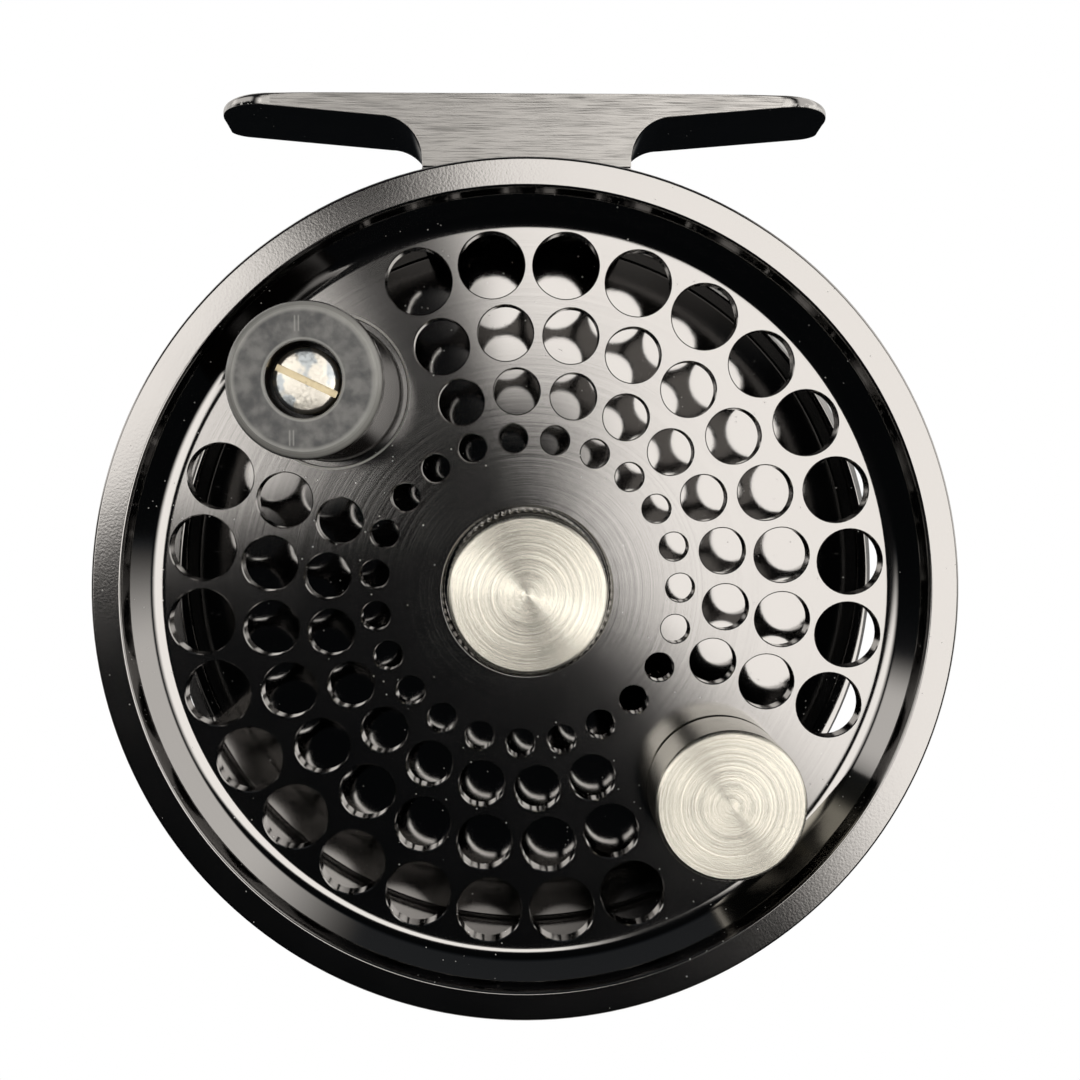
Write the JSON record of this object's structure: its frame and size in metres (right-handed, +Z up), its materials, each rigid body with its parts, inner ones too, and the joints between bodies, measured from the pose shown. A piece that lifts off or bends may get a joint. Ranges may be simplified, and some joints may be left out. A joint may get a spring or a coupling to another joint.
{
  "type": "fly reel",
  "caption": "Single-action trout fly reel with a drilled palming-rim spool, turned counterweight and cap, plastic handle knob, rear drag knob and a T-shaped foot.",
  "frame": {"origin": "middle of the flat top of the foot, where the reel seats on a rod", "axes": "+Z up out of the foot's flat top, +X along the rod and the foot, +Y from the handle side to the back plate; the reel hangs below"},
  "size_m": [0.0826, 0.0489, 0.09],
  "materials": {
    "black_anodised": "black anodised, semi-gloss",
    "turned_aluminium": "bright, fine turning lines",
    "steel": "turned stainless",
    "spring_steel": "blued spring steel",
    "bronze": "sintered bronze",
    "dark_plastic": "turned, handled",
    "white_plastic": "plain",
    "rubber": "plain",
    "friction_composite": "fibrous"
  },
  "bodies": {
    "frame": {"frame": "black_anodised", "reel_foot": "black_anodised", "foot_screw_left": "steel", "foot_screw_right": "steel", "spindle": "steel", "spindle_clip": "spring_steel", "pawl_pin": "steel", "click_spring": "spring_steel", "click_spring_screw": "steel", "knob_screw": "steel"},
    "spool": {"spool": "black_anodised", "front_bushing": "bronze", "one_way_clutch": "steel", "click_gear": "steel", "gear_screw_1": "steel", "gear_screw_2": "steel", "gear_screw_3": "steel", "counterweight": "turned_aluminium", "counterweight_screw": "steel", "handle_screw": "steel", "handle_washer": "white_plastic"},
    "handle": {"handle_knob": "dark_plastic", "handle_bushing": "bronze"},
    "drag_rotor": {"drag_hub": "steel", "friction_disc": "friction_composite"},
    "drag_pressure": {"pressure_plate": "steel", "thrust_pin_1": "steel", "thrust_pin_2": "steel", "thrust_pin_3": "steel", "thrust_washer": "steel", "drag_spring_1": "spring_steel", "drag_spring_2": "spring_steel", "drag_spring_3": "spring_steel"},
    "knob": {"drag_knob": "black_anodised", "detent_ball": "steel", "detent_spring": "spring_steel"},
    "pawl": {"click_pawl": "steel"},
    "seal": {"cap_seal": "rubber"},
    "cap": {"spool_cap": "turned_aluminium"}
  },
  "joints": [
    {"name": "spool_spin", "type": "hinge", "parent": "frame", "child": "spool", "pos_m": [0, 0, -0.0487], "axis": [0, 1, 0], "continuous": true},
    {"name": "handle_spin", "type": "hinge", "parent": "spool", "child": "handle", "pos_m": [-0.01903, -0.0195, -0.02913], "axis": [0, 1, 0], "continuous": true},
    {"name": "drag_spin", "type": "hinge", "parent": "frame", "child": "drag_rotor", "pos_m": [0, 0.005, -0.0487], "axis": [0, 1, 0], "continuous": true},
    {"name": "drag_squeeze", "type": "slide", "parent": "frame", "child": "drag_pressure", "axis": [0, -1, 0], "range_m": [0, 0.00035]},
    {"name": "drag_knob_turn", "type": "hinge", "parent": "drag_pressure", "child": "knob", "pos_m": [0, 0.016, -0.0487], "axis": [0, -1, 0], "range_deg": [0, 270]},
    {"name": "pawl_swing", "type": "hinge", "parent": "frame", "child": "pawl", "pos_m": [0.00817, 0.009, -0.03334], "axis": [0, 1, 0], "range_deg": [-12, 12], "stiffness_Nm_per_rad": 0.01},
    {"name": "cap_lift", "type": "slide", "parent": "spool", "child": "seal", "axis": [0, -1, 0], "range_m": [0, 0.001]},
    {"name": "cap_unscrew", "type": "hinge", "parent": "seal", "child": "cap", "pos_m": [0, -0.0115, -0.0487], "axis": [0, -1, 0], "range_deg": [0, 720]}
  ],
  "couplings": [
    {"joint": "drag_knob_turn", "follows": "drag_squeeze", "rad_per_m": 13464},
    {"joint": "cap_unscrew", "follows": "cap_lift", "rad_per_m": 12566}
  ]
}
